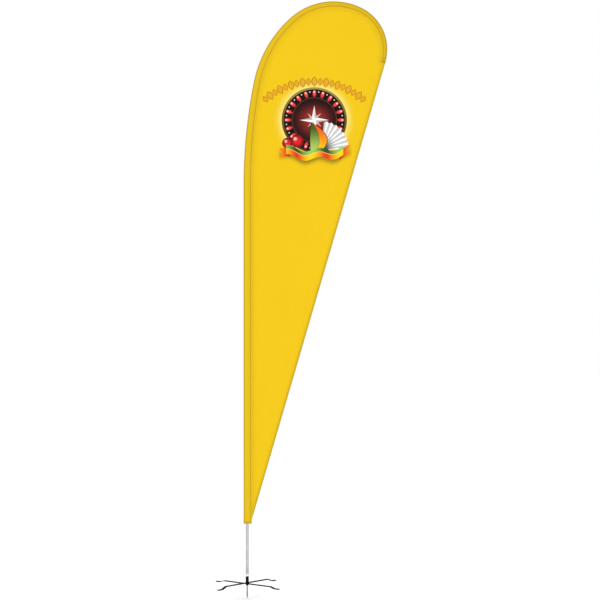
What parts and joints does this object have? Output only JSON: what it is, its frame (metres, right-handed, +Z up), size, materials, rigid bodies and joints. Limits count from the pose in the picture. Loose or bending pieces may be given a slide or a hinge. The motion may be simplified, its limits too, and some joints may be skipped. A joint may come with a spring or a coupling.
{
  "type": "teardrop flag",
  "caption": "Tall teardrop flag: yellow cloth sleeved on a mast that bends over at the top, pushed onto a spindle that turns on a flat-bar folding cross base with a ground spike.",
  "frame": {"origin": "on the ground spike's axis, at the level of the ground that the four feet lie on", "axes": "+Z up along the straight mast, +X towards the flag's free edge, +Y towards the back, so that the flag hangs in the XZ plane"},
  "size_m": [1.1636, 0.3854, 4.0193],
  "materials": {
    "printed_cloth": "knitted polyester, yellow, with a printed emblem near the top",
    "sleeve_cloth": "heavier knitted polyester, darker yellow",
    "hem_webbing": "woven webbing, darker yellow",
    "black_powder_coat": "satin black powder coat on steel",
    "zinc_steel": "zinc-plated, dull",
    "bright_steel": "turned, smooth",
    "aluminium": "clear anodised, drawn tube",
    "glass_fibre": "pultruded glass fibre, off-white",
    "white_nylon": "turned nylon, matt white",
    "black_nylon": "stamped nylon, matt black"
  },
  "bodies": {
    "base": {"ground_spike": "zinc_steel", "spike_jam_nut": "black_powder_coat", "spike_washer": "black_powder_coat", "lower_leg_bar": "black_powder_coat", "pivot_washer": "black_nylon", "bearing_post": "black_powder_coat", "bearing_outer_races": "bright_steel", "bearing_balls": "bright_steel", "bearing_spacer": "aluminium", "bearing_retaining_ring": "bright_steel"},
    "upper_leg": {"upper_leg_bar": "black_powder_coat"},
    "spindle": {"spindle": "bright_steel", "bearing_inner_races": "bright_steel", "spindle_circlip": "bright_steel", "nylon_collar": "white_nylon"},
    "lower_mast": {"lower_pole": "aluminium", "lower_pole_ferrule": "bright_steel"},
    "middle_mast": {"middle_pole": "aluminium", "lower_joint_spigot": "bright_steel", "middle_pole_ferrule": "bright_steel"},
    "flag_head": {"upper_rod": "glass_fibre", "upper_joint_spigot": "bright_steel", "rod_joint_ferrule": "bright_steel", "tip_rod": "glass_fibre", "tip_cap": "white_nylon", "pole_sleeve": "sleeve_cloth", "sleeve_hem": "hem_webbing", "tip_pocket": "hem_webbing", "flag_panel": "printed_cloth"}
  },
  "joints": [
    {"name": "leg_fold", "type": "hinge", "parent": "base", "child": "upper_leg", "pos_m": [0, 0, 0.0187], "axis": [0, 0, 1], "range_deg": [-72, 92]},
    {"name": "flag_spin", "type": "hinge", "parent": "base", "child": "spindle", "pos_m": [0, 0, 0.05], "axis": [0, 0, 1], "continuous": true},
    {"name": "mast_lift", "type": "slide", "parent": "spindle", "child": "lower_mast", "axis": [0, 0, 1], "range_m": [0, 0.16]},
    {"name": "lower_joint_pull", "type": "slide", "parent": "lower_mast", "child": "middle_mast", "axis": [0, 0, 1], "range_m": [0, 0.12]},
    {"name": "middle_joint_pull", "type": "slide", "parent": "middle_mast", "child": "flag_head", "axis": [0, 0, 1], "range_m": [0, 0.12]}
  ]
}
